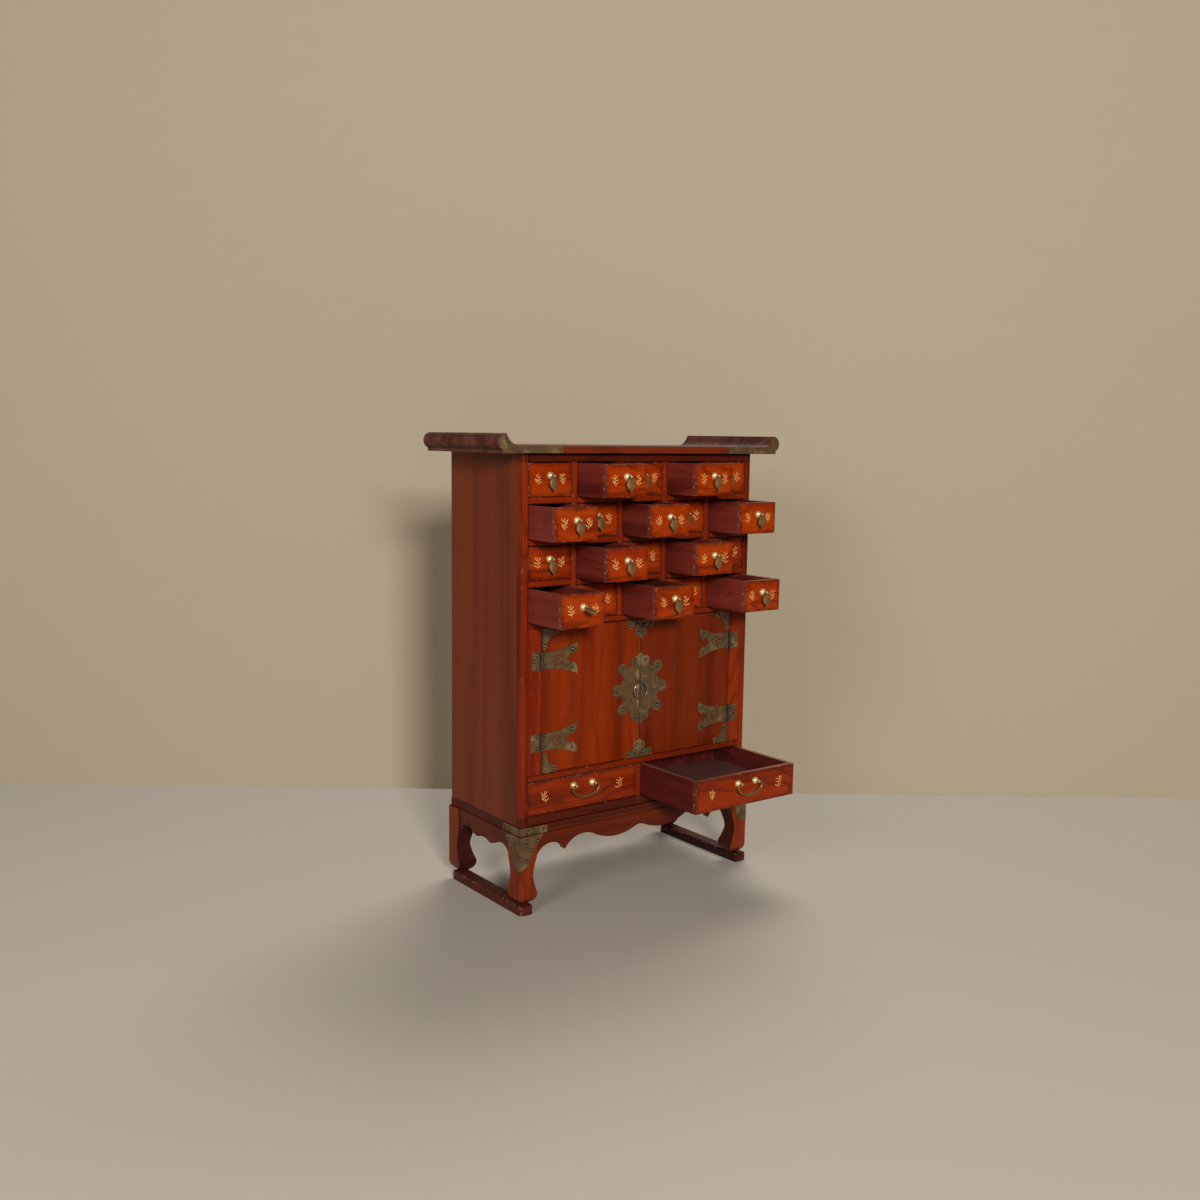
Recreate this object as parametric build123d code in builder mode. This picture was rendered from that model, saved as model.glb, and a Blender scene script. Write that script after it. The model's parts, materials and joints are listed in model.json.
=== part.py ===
"""Apothecary chest: small drawers over a two-door cupboard and two long drawers, on a low stand.

Millimetres. X runs to the right, Y to the back and Z up. The origin is on the floor, under the
middle of the carcass. Some drawers are drawn open, and one pull is lifted.
"""
import os
from build123d import *

# Carcass and its front
carcass_width = 470.0
carcass_depth = 215.0
side_thickness = 12.0
back_thickness = 8.0
frame_depth = 14.0
stile_width = 12.0
divider_width = 10.5
rail_height = 11.0
top_rail_height = 13.4
bottom_rail_height = 16.0
door_strip_width = 26.0
member_nose = 3.2
face_recess = 2.0
column_count = 5
row_count = 4
row_opening = 53.4
cupboard_height = 233.0
long_opening = 55.0
shelf_thickness = 8.0

# Top board with raised ends
top_thickness = 12.0
top_front_overhang = 14.0
top_end_width = 32.0
top_end_overhang = 52.0
top_end_rise = 18.0
top_edge_chamfer = 1.2
end_foot_share = 0.75
end_step_share = 0.42
end_peak_share = 0.56
end_hollow_shares = (0.34, 0.36)
end_belly_share = 0.62

# Stand
runner_height = 15.0
runner_width = 25.0
runner_front_reach = 4.0
runner_back_inset = 10.0
runner_end_radius = 6.0
runner_top_ease = 3.0
leg_height = 112.0
leg_width = 33.0
leg_belly_width = 34.0
leg_ankle_width = 26.0
stand_side_step = 6.0
stand_front_step = 6.0
waist_height = 13.0
waist_step = 1.5
waist_thickness = 14.0
apron_thickness = 12.0
apron_setback = 1.5
apron_drop = 36.5
foot_toe_share = 0.33
foot_heel_share = 0.72
foot_round_share = 0.16
belly_height_share = 0.17
ankle_height_share = 0.42
shin_hollow_share = 0.36
# Scalloped aprons: place from the middle as a share of the half span, depth as a share of the drop
front_apron_shares = ((0.0, 0.50), (0.04, 0.55), (0.22, 0.81), (0.47, 0.47), (0.60, 0.40),
                      (0.735, 0.92), (0.86, 0.49), (1.0, 1.0))
side_apron_shares = ((0.0, 0.74), (0.12, 0.76), (0.30, 0.86), (0.50, 0.66), (0.60, 0.61),
                     (0.68, 0.60), (0.84, 0.66), (1.0, 1.0))

# Drawers
drawer_side_gap = 0.5
drawer_top_gap = 1.2
drawer_floor_gap = 0.3
drawer_back_gap = 3.0
drawer_front_thickness = 9.0
drawer_wall = 7.0
drawer_back_drop = 3.0
drawer_floor_thickness = 4.0
drawer_floor_rise = 3.0
long_floor_rise = 16.0
front_chamfer = 0.9
# How far each drawer stands open, by row from the top and by column from the left
small_pulls = ((0.0, 75.0, 0.0, 71.0, 0.0),
               (72.0, 0.0, 71.0, 0.0, 79.0),
               (0.0, 80.0, 0.0, 76.0, 0.0),
               (91.0, 0.0, 87.0, 0.0, 95.0))
long_pulls = (0.0, 142.0)
lifted_pendant = (3, 0)
lift_angle = 72.0

# Knobs and leaf pendants
knob_radius = 6.0
knob_rise = 6.2
lug_width = 2.8
lug_radius = 2.0
pivot_reach = 9.6
pin_radius = 0.9
running_gap = 0.06
ear_width = 2.0
ear_gap = 0.3
leaf_thickness = 1.6
leaf_crown = 1.5
leaf_shoulder = 3.4
leaf_width = 14.4
leaf_length = 24.0
leaf_belly_share = 0.44
leaf_neck_shares = (0.76, 0.70)
leaf_tail_shares = (0.19, 0.89)

# Bails on the long drawers
bail_spacing = 37.5
bail_rise = 11.0
post_radius = 6.0
bail_wire = 1.4
bail_grip = 2.0
bail_shoulder = 1.4
bail_turn = 4.2
bail_drop = 18.6
bail_stub = 1.4

# Doors and hinges
door_thickness = 12.0
door_gap = 0.7
door_seam = 1.0
door_chamfer = 0.9
hinge_offset = 65.0
leaf_plate = 1.2
barrel_radius = 2.5
barrel_standoff = 0.1
barrel_pin = 1.1
barrel_gap = 0.3
barrel_middle = 9.6
frame_leaf_length = 18.5
frame_leaf_height = 28.6
strap_length = 69.0
strap_tail_height = 52.0
strap_waist_shares = (0.55, 0.60)
strap_belly_shares = (0.985, 0.52)
strap_heel_shares = (0.88, 0.19)
strap_lobe_shares = (0.81, 0.31)
strap_cusp_shares = (0.765, 0.13)
strap_notch_shares = (0.725, 0.10)
strap_root_share = 0.70
pierce_place_share = 0.46
pierce_reach = 7.4
pierce_length = 9.6
pierce_width = 2.3
pierce_heart = 4.4

# Nails and plates on the doors
nail_sphere = 3.5
nail_cut_angle = 28.0
strap_nail_shares = ((0.115, 0.37), (0.115, -0.37), (0.86, 0.56), (0.86, -0.56))
frame_nail_shares = ((0.38, 0.33), (0.38, -0.33), (0.80, 0.0))
lock_height = 123.0
lock_width = 113.0
lock_body_shares = (0.36, 0.37)
lock_disc_share = 0.31
lock_tip_shares = (0.15, 0.375)
lock_disc_rise = 0.7
lock_lobe_radius = 10.2
lock_tip_lobe_radius = 8.0
lock_notch_radius = 3.9
lock_notch_shares = ((0.190, 0.345), (0.345, 0.155), (0.345, -0.125), (0.200, -0.310))
lock_rib_width = 7.0
lock_rib_rise = 1.6
lock_rib_share = 0.90
lock_nail_shares = ((0.095, 0.385), (0.32, 0.29), (0.41, 0.01), (0.32, -0.26), (0.10, -0.365), (0.10, 0.16))
corner_plate_width = 31.0
corner_plate_height = 34.0
corner_lobe_radius = 6.0
corner_bite_share = 0.30
corner_nail_shares = ((0.14, 0.80), (0.80, 0.14), (0.20, 0.20))
crest_width = 60.0
crest_height = 32.0
crest_lobe_radius = 5.2
crest_nail_shares = ((0.37, 0.27), (0.11, 0.27), (0.105, 0.68))
crest_notch_shares = (0.26, 0.48)
crest_notch_radius = 4.0

# Ring and its staple on the left door, stud on the right door
ring_radius = 13.6
ring_wire = 1.15
ring_drop = 1.0
staple_reach = 7.0
staple_radius = 3.2
staple_lug_width = 2.2
staple_lug_radius = 2.8
staple_eye = 1.6
staple_inset = 4.6
stud_radius = 2.6
stud_inset = 13.5
stud_drop = 5.0

# Brass on the top board's ends and on the stand's front corners
end_plate_thickness = 1.0
end_strip_length = 116.0
end_plate_inset = 0.6
end_nail_radius = 2.1
end_nail_shares = (0.22, 0.42, 0.70, 0.96)
corner_brass_thickness = 1.0
corner_band_length = 50.0
corner_shield_drop = 54.0
corner_shield_shares = ((0.88, 0.0), (0.70, 0.24), (0.48, 0.52), (0.37, 0.82))
corner_band_nail_shares = (0.26, 0.88)
corner_shield_nail_shares = ((0.66, 0.18), (0.24, 0.24), (0.44, 0.42), (0.28, 0.74))

# Cuts run this far past the faces that they open
overrun = 2.0

# Levels and places worked out from the sizes above
half_width = carcass_width / 2
front = -carcass_depth / 2
back = carcass_depth / 2
stand_top = runner_height + leg_height
carcass_base = stand_top + waist_height
long_floor = carcass_base + bottom_rail_height
long_ceiling = long_floor + long_opening
cupboard_floor = long_ceiling + rail_height
cupboard_ceiling = cupboard_floor + cupboard_height
grid_floor = cupboard_ceiling + rail_height
grid_ceiling = grid_floor + row_count * row_opening + (row_count - 1) * rail_height
carcass_top = grid_ceiling + top_rail_height
inner_half = half_width - stile_width
back_face = back - back_thickness
frame_back = front + frame_depth
column_opening = (2 * inner_half - (column_count - 1) * divider_width) / column_count
column_pitch = column_opening + divider_width
row_pitch = row_opening + rail_height
face = front + face_recess
door_outer = inner_half - door_strip_width
door_middle = (cupboard_floor + cupboard_ceiling) / 2
stand_half = half_width + stand_side_step
stand_front = front - stand_front_step
stand_middle = (stand_front + back) / 2
top_front = front - top_front_overhang
top_outer = half_width + top_end_overhang
top_inner = top_outer - top_end_width
hinge_axis = face - barrel_radius - barrel_standoff
hinge_x = door_outer + door_gap / 2


def column_middle(column):
    """Middle of a drawer column, counted from the left."""
    return -inner_half + column_opening / 2 + column * column_pitch


def row_floor(row):
    """Floor of a drawer row, counted from the top."""
    return grid_floor + (row_count - 1 - row) * row_pitch


def front_plane(depth):
    """Plane that faces the viewer at this Y, with X to the right and Z up."""
    return Plane.XZ.offset(-depth)


def board(low, high, nose=0.0, run=Axis.X):
    """A board between two corners, with its front edges along the run rounded."""
    with BuildPart() as piece:
        with Locations(low):
            Box(high[0] - low[0], high[1] - low[1], high[2] - low[2], align=(Align.MIN,) * 3)
        if nose:
            fillet(piece.faces().sort_by(Axis.Y)[0].edges().filter_by(run), radius=nose)
    return piece.part


def save(name, pieces):
    """Write the pieces of one node, each as its own solid."""
    solids = [solid for piece in pieces for solid in piece.solids()]
    node = Compound(label=name, children=solids)
    export_step(node, f"parts/{name}.step")


def place(pieces, spot, turn=(0, 0, 0)):
    """Copies of the pieces at a spot, turned about it."""
    return [piece.moved(Location(spot, turn)) for piece in pieces]


def nails(points, depth, sphere=nail_sphere):
    """Domed nail heads on a face at this Y, at points (x, z)."""
    with BuildPart(front_plane(depth)) as heads:
        with Locations(*points):
            Sphere(sphere, arc_size1=nail_cut_angle, arc_size2=90,
                   align=(Align.CENTER, Align.CENTER, Align.MIN))
    return heads.part


# Carcass boards
def make_carcass():
    sides = []
    for side in (-1, 1):
        edges = sorted((side * half_width, side * (half_width - side_thickness)))
        sides.append(board((edges[0], frame_back, carcass_base), (edges[1], back, carcass_top)))
    save("side_panels", sides)
    inner = half_width - side_thickness
    save("back_panel", [board((-inner, back_face, carcass_base), (inner, back, carcass_top))])
    bottom_top = carcass_base + shelf_thickness
    half_divider = divider_width / 2
    boards = [
        board((-inner, frame_back, cupboard_ceiling), (inner, back_face, grid_floor)),
        board((-inner, frame_back, long_ceiling), (inner, back_face, cupboard_floor)),
        board((-inner, frame_back, carcass_base), (inner, back_face, bottom_top)),
        board((-half_divider, frame_back, bottom_top), (half_divider, back_face, long_ceiling)),
    ]
    runner_x = (-inner, -half_divider, half_divider, inner)
    for left, right in ((runner_x[0], runner_x[1]), (runner_x[2], runner_x[3])):
        for edge, step in ((left, stile_width), (right - stile_width, stile_width)):
            boards.append(board((edge, frame_back, bottom_top), (edge + step, back_face, long_floor)))
    save("carcass_boards", boards)


# Front frame: stiles, rails, door strips and the long drawers' divider
def make_face_frame():
    pieces = []
    half_divider = divider_width / 2
    for side in (-1, 1):
        stile = sorted((side * half_width, side * inner_half))
        pieces.append(board((stile[0], front, carcass_base), (stile[1], frame_back, carcass_top),
                            member_nose, Axis.Z))
        strip = sorted((side * inner_half, side * door_outer))
        pieces.append(board((strip[0], face, cupboard_floor), (strip[1], frame_back, cupboard_ceiling)))
    rails = ((grid_ceiling, carcass_top), (cupboard_ceiling, grid_floor), (long_ceiling, cupboard_floor),
             (carcass_base, long_floor))
    for low, high in rails:
        pieces.append(board((-inner_half, front, low), (inner_half, frame_back, high), member_nose))
    pieces.append(board((-half_divider, front, long_floor), (half_divider, frame_back, long_ceiling),
                        member_nose, Axis.Z))
    save("face_frame", pieces)


# Partitions and shelves between the small drawers
def make_drawer_grid():
    pieces = []
    for column in range(column_count - 1):
        left = column_middle(column) + column_opening / 2
        pieces.append(board((left, front, grid_floor), (left + divider_width, back_face, grid_ceiling),
                            member_nose, Axis.Z))
    for row in range(1, row_count):
        shelf_top = row_floor(row - 1)
        for column in range(column_count):
            left = column_middle(column) - column_opening / 2
            pieces.append(board((left, front, shelf_top - rail_height),
                                (left + column_opening, back_face, shelf_top), member_nose))
    save("drawer_grid", pieces)


# Top board and its raised ends
def end_outline():
    """Outline of the right-hand raised end, seen from the front."""
    foot = top_inner + end_foot_share * top_end_width
    peak = top_inner + end_peak_share * top_end_width
    board_top = carcass_top + top_thickness
    peak_top = board_top + top_end_rise
    step = carcass_top + end_step_share * top_thickness
    hollow = (top_inner + end_hollow_shares[0] * top_end_width,
              board_top + end_hollow_shares[1] * top_end_rise)
    belly = (top_outer, step + end_belly_share * top_end_rise)
    Line((top_inner, carcass_top), (foot, carcass_top))
    Line((foot, carcass_top), (foot, step))
    ThreePointArc((foot, step), belly, (peak, peak_top))
    ThreePointArc((peak, peak_top), hollow, (top_inner, board_top))
    Line((top_inner, board_top), (top_inner, carcass_top))


def make_top():
    with BuildPart() as middle:
        with Locations((-top_inner, top_front, carcass_top)):
            Box(2 * top_inner, back - top_front, top_thickness, align=(Align.MIN,) * 3)
        chamfer(middle.faces().sort_by(Axis.Y)[0].edges().filter_by(Axis.X), length=top_edge_chamfer)
    with BuildPart() as right_end:
        with BuildSketch(front_plane(top_front)):
            with BuildLine():
                end_outline()
            make_face()
        extrude(amount=-(back - top_front))
    left_end = mirror(right_end.part, about=Plane.YZ)
    save("top_board", [middle.part, right_end.part, left_end])


# Brass on the front of the top board's ends
def make_top_plates():
    low = carcass_top + end_plate_inset
    strip_height = top_thickness - 2 * end_plate_inset
    with BuildPart() as right_plate:
        with BuildSketch(front_plane(top_front)):
            with BuildLine():
                end_outline()
            make_face()
            with Locations((top_outer - end_strip_length, low)):
                Rectangle(end_strip_length - top_end_width + overrun, strip_height,
                          align=(Align.MIN, Align.MIN))
        extrude(amount=end_plate_thickness)
    nail_line = carcass_top + top_thickness / 2
    points = [(top_outer - share * end_strip_length, nail_line) for share in end_nail_shares]
    peak = top_inner + end_peak_share * top_end_width
    points.append((peak, carcass_top + top_thickness + top_end_rise / 2 - end_nail_radius))
    heads = nails(points, top_front - end_plate_thickness, end_nail_radius)
    pieces = [right_plate.part, heads]
    save("top_end_plates", pieces + [mirror(piece, about=Plane.YZ) for piece in pieces])


# Stand: legs, aprons, waist and runners
def leg_outline(corner, base):
    """Leg outline from its outer corner inwards."""
    def at(inward, height):
        return (corner + inward, height)

    toe = foot_toe_share * leg_belly_width
    heel = foot_heel_share * leg_belly_width
    round_start = base + foot_round_share * leg_height
    belly = base + belly_height_share * leg_height
    ankle = base + ankle_height_share * leg_height
    cusp = stand_top - apron_drop
    Line(at(0, stand_top), at(0, round_start))
    ThreePointArc(at(0, round_start), at(toe / 3, (base + round_start) / 2 - toe / 3), at(toe, base))
    Line(at(toe, base), at(heel, base))
    ThreePointArc(at(heel, base), at((heel + 2 * leg_belly_width) / 3, (base + belly) / 2 - toe / 3),
                  at(leg_belly_width, belly))
    shin = leg_ankle_width + shin_hollow_share * (leg_belly_width - leg_ankle_width)
    ThreePointArc(at(leg_belly_width, belly), at(shin, (belly + ankle) / 2), at(leg_ankle_width, ankle))
    calf = leg_ankle_width + shin_hollow_share * (leg_width - leg_ankle_width)
    ThreePointArc(at(leg_ankle_width, ankle), at(calf, (ankle + cusp) / 2), at(leg_width, cusp))
    Line(at(leg_width, cusp), at(leg_width, stand_top))
    Line(at(leg_width, stand_top), at(0, stand_top))


def apron(shares, half_span, plane, middle):
    """A board whose lower edge is scalloped alike on both sides of its middle."""
    def at(pair, side):
        return (middle + side * pair[0] * half_span, stand_top - pair[1] * apron_drop)

    with BuildPart() as piece:
        with BuildSketch(plane):
            with BuildLine():
                for side in (-1, 1):
                    points = [at(pair, side) for pair in shares]
                    crown, crown_end, lobe, rise, arch, cusp, vault, foot = points
                    Line(crown, crown_end)
                    ThreePointArc(crown_end, lobe, rise)
                    ThreePointArc(rise, arch, cusp)
                    ThreePointArc(cusp, vault, foot)
                    Line(foot, (foot[0], stand_top))
                Line((middle - half_span, stand_top), (middle + half_span, stand_top))
            make_face()
        extrude(amount=-apron_thickness)
    return piece.part


def make_stand():
    with BuildPart() as legs:
        with BuildSketch(front_plane(stand_front)):
            with BuildLine():
                leg_outline(-stand_half, runner_height)
            make_face()
        extrude(amount=-leg_belly_width - overrun)
        with BuildSketch(Plane.YZ.offset(-stand_half)):
            with BuildLine():
                leg_outline(stand_front, runner_height)
            make_face()
        extrude(amount=leg_belly_width + overrun, mode=Mode.INTERSECT)
        mirror(about=Plane.YZ)
        mirror(about=front_plane(stand_middle))
    front_span = stand_half - leg_width
    side_span = (back - stand_front) / 2 - leg_width
    front_apron = apron(front_apron_shares, front_span, front_plane(stand_front + apron_setback), 0)
    left_plane = Plane(origin=(-stand_half + apron_setback, 0, 0), x_dir=(0, -1, 0), z_dir=(-1, 0, 0))
    left_apron = apron(side_apron_shares, side_span, left_plane, -stand_middle)
    aprons = [front_apron, mirror(front_apron, about=front_plane(stand_middle)),
              left_apron, mirror(left_apron, about=Plane.YZ)]
    waist_half = half_width + waist_step
    waist_front = front - waist_step
    waist = []
    for low, high in ((waist_front, waist_front + waist_thickness), (back - waist_thickness, back)):
        waist.append(board((-waist_half, low, stand_top), (waist_half, high, carcass_base)))
    for side in (-1, 1):
        edge = sorted((side * waist_half, side * (waist_half - waist_thickness)))
        waist.append(board((edge[0], waist_front + waist_thickness, stand_top),
                           (edge[1], back - waist_thickness, carcass_base)))
    save("stand_frame", [legs.part] + aprons + waist)


def make_runners():
    runner_front = stand_front - runner_front_reach
    runner_length = back - runner_back_inset - runner_front
    with BuildPart() as runners:
        with Locations((-stand_half, runner_front, 0)):
            Box(runner_width, runner_length, runner_height, align=(Align.MIN,) * 3)
        fillet(runners.edges().filter_by(Axis.Z), radius=runner_end_radius)
        fillet(runners.faces().sort_by(Axis.Z)[-1].edges(), radius=runner_top_ease)
        mirror(about=Plane.YZ)
    save("stand_runners", [runners.part])


# Brass on the stand's front corners: a band on the waist and a shield down the leg
def shield_points(corner, shares):
    """Points inwards from the leg's corner and down from the stand's top."""
    return [(corner + across * corner_band_length, stand_top - down * corner_shield_drop)
            for across, down in shares]


def shield_outline(corner):
    """Shield from the leg's corner inwards, with its tip on the corner."""
    tip = (corner, stand_top - corner_shield_drop)
    edge = shield_points(corner, corner_shield_shares)
    Line((corner, stand_top), edge[0])
    ThreePointArc(edge[0], edge[1], edge[2])
    ThreePointArc(edge[2], edge[3], tip)
    Line(tip, (corner, stand_top))


def make_stand_brass():
    band_low = stand_top + end_plate_inset
    band_height = waist_height - 2 * end_plate_inset
    waist_front = front - waist_step
    waist_side = -half_width - waist_step
    side_plane = Plane.YZ.offset(-stand_half)
    with BuildPart() as front_shield:
        with BuildSketch(front_plane(stand_front)):
            with BuildLine():
                shield_outline(-stand_half)
            make_face()
        extrude(amount=corner_brass_thickness)
    with BuildPart() as side_shield:
        with BuildSketch(side_plane):
            with BuildLine():
                shield_outline(stand_front)
            make_face()
        extrude(amount=-corner_brass_thickness)
    front_band = board((waist_side, waist_front - corner_brass_thickness, band_low),
                       (waist_side + corner_band_length, waist_front, band_low + band_height))
    side_band = board((waist_side - corner_brass_thickness, waist_front, band_low),
                      (waist_side, waist_front + corner_band_length, band_low + band_height))
    band_level = band_low + band_height / 2
    band_points = [(waist_side + share * corner_band_length, band_level) for share in corner_band_nail_shares]
    side_band_points = [(waist_front + share * corner_band_length, band_level) for share in corner_band_nail_shares]
    front_points = shield_points(-stand_half, corner_shield_nail_shares)
    heads = [nails(front_points, stand_front - corner_brass_thickness),
             nails(band_points, waist_front - corner_brass_thickness)]
    side_points = shield_points(stand_front, corner_shield_nail_shares)
    for side, points in ((-stand_half, side_points), (waist_side, side_band_points)):
        with BuildPart(Plane.YZ.offset(side - corner_brass_thickness)) as side_heads:
            with Locations(*[Location((*point, 0), (180, 0, 0)) for point in points]):
                Sphere(nail_sphere, arc_size1=nail_cut_angle, arc_size2=90,
                       align=(Align.CENTER, Align.CENTER, Align.MIN))
        heads.append(side_heads.part)
    left = [front_shield.part, side_shield.part, front_band, side_band] + heads
    save("stand_corner_plates", left + [mirror(piece, about=Plane.YZ) for piece in left])


# Knob with its lug and cross pin, and the pendant that hangs on it
def make_knob(radius, lug, pin):
    """Dome on a face at Y zero, with a lug in front and a pin or an eye across it."""
    with BuildPart() as knob:
        with BuildSketch(Plane.YZ):
            with BuildLine():
                Line((0, 0), (-radius, 0))
                ThreePointArc((-radius, 0), (-radius * 0.5 ** 0.5, radius * 0.5 ** 0.5), (0, radius))
                Line((0, radius), (0, 0))
            make_face()
        revolve(axis=Axis.Y)
        with BuildSketch(Plane.YZ.offset(-lug / 2)):
            with Locations((-pivot_reach, 0)):
                Circle(lug_radius)
                Rectangle(pivot_reach, 2 * lug_radius, align=(Align.MIN, Align.CENTER))
        extrude(amount=lug)
        with Locations((0, -pivot_reach, 0)):
            if pin:
                Cylinder(pin_radius, lug_width + 2 * (ear_gap + ear_width), rotation=(0, 90, 0))
            else:
                Cylinder(bail_wire + running_gap, lug + overrun, rotation=(0, 90, 0), mode=Mode.SUBTRACT)
    return knob.part


def make_pendant():
    """Leaf, crowned in front, that hangs from two ears, with the pin's axis on X."""
    ear_middle = lug_width / 2 + ear_gap + ear_width / 2
    shoulder = ear_middle + ear_width / 2
    belly = (leaf_width / 2, -leaf_belly_share * leaf_length)
    neck = (leaf_neck_shares[0] * leaf_width / 2, -leaf_neck_shares[1] * leaf_length)
    tail = (leaf_tail_shares[0] * leaf_width / 2, -leaf_tail_shares[1] * leaf_length)
    crown_radius = (leaf_width ** 2 / 4 + leaf_crown ** 2) / (2 * leaf_crown)
    with BuildPart() as pendant:
        with BuildSketch(front_plane(leaf_thickness / 2)):
            with BuildLine():
                for side in (-1, 1):
                    Line((0, -leaf_shoulder), (side * shoulder, -leaf_shoulder))
                    ThreePointArc((side * shoulder, -leaf_shoulder), (side * belly[0], belly[1]),
                                  (side * neck[0], neck[1]))
                    ThreePointArc((side * neck[0], neck[1]), (side * tail[0], tail[1]), (0, -leaf_length))
            make_face()
        extrude(amount=leaf_thickness + leaf_crown)
        with Locations((0, crown_radius - leaf_crown - leaf_thickness / 2, 0)):
            Cylinder(crown_radius, 3 * leaf_length, mode=Mode.INTERSECT)
        with Locations((-ear_middle, 0, 0), (ear_middle, 0, 0)):
            Cylinder(lug_radius, ear_width, rotation=(0, 90, 0))
            Box(ear_width, leaf_thickness, leaf_shoulder + leaf_thickness,
                align=(Align.CENTER, Align.CENTER, Align.MAX))
            Cylinder(pin_radius + running_gap, ear_width + overrun, rotation=(0, 90, 0), mode=Mode.SUBTRACT)
    return pendant.part


def make_bail():
    """Bail in the plane of its pivots, with ends that turn in through the posts' eyes."""
    half = bail_spacing / 2
    start = half - lug_width / 2 - bail_stub
    shoulder = half + lug_width / 2 + bail_shoulder
    side = shoulder + bail_turn
    with BuildPart() as bail:
        with BuildLine(Plane.XZ) as grip:
            EllipticalCenterArc((0, -bail_turn), side, bail_drop - bail_turn, start_angle=180, arc_size=180)
        for along, radius in ((0, bail_wire), (0.5, bail_grip), (1, bail_wire)):
            with BuildSketch(Plane(origin=grip.edge() @ along, x_dir=(0, 1, 0), z_dir=grip.edge() % along)):
                Circle(radius)
        sweep(path=grip.edge(), multisection=True)
        for way in (-1, 1):
            with BuildLine(Plane.XZ) as shank:
                Line((way * start, 0), (way * shoulder, 0))
                TangentArc((way * shoulder, 0), (way * side, -bail_turn), tangent=(way, 0))
            with BuildSketch(Plane(origin=shank.line @ 0, z_dir=shank.line % 0)):
                Circle(bail_wire)
            sweep(path=shank.line)
    return bail.part


# Drawers with their pulls
def drawer_boards(width, height, depth, floor_rise):
    """Front, sides, back and floor about the middle of the front's lower edge, front face at Y zero."""
    half = width / 2
    with BuildPart() as panel:
        with Locations((-half, 0, 0)):
            Box(width, drawer_front_thickness, height, align=(Align.MIN,) * 3)
        chamfer(panel.faces().sort_by(Axis.Y)[0].edges(), length=front_chamfer)
    inner = half - drawer_wall
    behind = depth - drawer_wall
    floor_top = floor_rise + drawer_floor_thickness
    return [
        panel.part,
        board((-half, drawer_front_thickness, 0), (-inner, depth, height)),
        board((inner, drawer_front_thickness, 0), (half, depth, height)),
        board((-inner, behind, 0), (inner, depth, height - drawer_back_drop)),
        board((-inner, drawer_front_thickness, floor_rise), (inner, behind, floor_top)),
    ]


def make_small_drawers():
    depth = back_face - drawer_back_gap - face
    width = column_opening - 2 * drawer_side_gap
    height = row_opening - drawer_floor_gap - drawer_top_gap
    pull_level = height / 2 + knob_rise
    knob = make_knob(knob_radius, lug_width, True)
    pieces = drawer_boards(width, height, depth, drawer_floor_rise) + place([knob], (0, 0, pull_level))
    pendant = make_pendant()
    for row in range(row_count):
        for column in range(column_count):
            spot = (column_middle(column), face - small_pulls[row][column], row_floor(row) + drawer_floor_gap)
            name = f"r{row + 1}c{column + 1}"
            save(f"drawer_{name}", place(pieces, spot))
            pivot = (spot[0], spot[1] - pivot_reach, spot[2] + pull_level)
            lift = -lift_angle if (row, column) == lifted_pendant else 0
            save(f"pendant_{name}", place([pendant], pivot, (lift, 0, 0)))


def make_long_drawers():
    depth = back_face - drawer_back_gap - face
    opening = inner_half - divider_width / 2
    width = opening - 2 * drawer_side_gap
    height = long_opening - drawer_floor_gap - drawer_top_gap
    pull_level = height / 2 + bail_rise
    post = make_knob(post_radius, lug_width, False)
    pieces = drawer_boards(width, height, depth, long_floor_rise)
    for side in (-1, 1):
        pieces += place([post], (side * bail_spacing / 2, 0, pull_level))
    bail = make_bail()
    middle = (inner_half + divider_width / 2) / 2
    for side, name, pull in ((-1, "left", long_pulls[0]), (1, "right", long_pulls[1])):
        spot = (side * middle, face - pull, long_floor + drawer_floor_gap)
        save(f"long_drawer_{name}", place(pieces, spot))
        save(f"bail_{name}", place([bail], (spot[0], spot[1] - pivot_reach, spot[2] + pull_level)))


# Doors and their brasses
def strap_outline(level):
    """Fishtail strap on the left door, from the hinge line inwards."""
    start = -hinge_x + barrel_radius + barrel_gap
    half_start = frame_leaf_height / 2

    def at(pair, side):
        return (-hinge_x + pair[0] * strap_length, level + side * pair[1] * strap_tail_height / 2)

    root = (-hinge_x + strap_root_share * strap_length, level)
    for side in (-1, 1):
        horn = (-hinge_x + strap_length, level + side * strap_tail_height / 2)
        Line((start, level), (start, level + side * half_start))
        ThreePointArc((start, level + side * half_start), at(strap_waist_shares, side), horn)
        ThreePointArc(horn, at(strap_belly_shares, side), at(strap_heel_shares, side))
        ThreePointArc(at(strap_heel_shares, side), at(strap_lobe_shares, side), at(strap_cusp_shares, side))
        ThreePointArc(at(strap_cusp_shares, side), at(strap_notch_shares, side), root)


def make_strap(level):
    """Door leaf of one hinge with its middle barrel."""
    pierce = -hinge_x + pierce_place_share * strap_length
    with BuildPart() as strap:
        with BuildSketch(front_plane(face)):
            with BuildLine():
                strap_outline(level)
            make_face()
            with Locations((pierce, level)):
                Rectangle(pierce_heart, pierce_heart, rotation=45, mode=Mode.SUBTRACT)
                with PolarLocations(pierce_reach, 4, start_angle=45):
                    Rectangle(pierce_width, pierce_length, mode=Mode.SUBTRACT)
            with Locations((-hinge_x, level)):
                Rectangle(barrel_radius + 2 * barrel_gap, barrel_middle, align=(Align.MIN, Align.CENTER))
        extrude(amount=leaf_plate)
        with Locations((-hinge_x, hinge_axis, level)):
            Cylinder(barrel_radius, barrel_middle)
            Cylinder(barrel_pin + running_gap, barrel_middle + overrun, mode=Mode.SUBTRACT)
    return strap.part


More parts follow.
